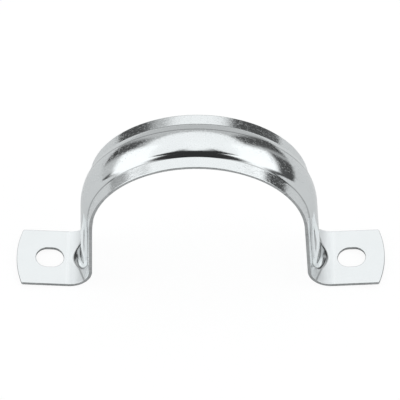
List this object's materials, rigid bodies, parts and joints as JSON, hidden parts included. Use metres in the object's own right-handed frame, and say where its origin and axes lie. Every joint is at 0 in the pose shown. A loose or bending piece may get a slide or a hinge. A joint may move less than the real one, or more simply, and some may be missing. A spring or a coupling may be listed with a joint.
{
  "type": "conduit strap",
  "caption": "Pressed steel conduit strap: a ribbed half-round saddle on straight legs, with a slotted foot turned out at each end.",
  "frame": {"origin": "midway between the feet, level with the lowest line of their bends", "axes": "+X along the strap from foot to foot, +Y along the conduit, +Z away from the wall"},
  "size_m": [0.176, 0.031, 0.1006],
  "materials": {
    "zinc_plated_steel": "bright zinc plate"
  },
  "bodies": {
    "root": {"strap": "zinc_plated_steel"}
  },
  "joints": []
}
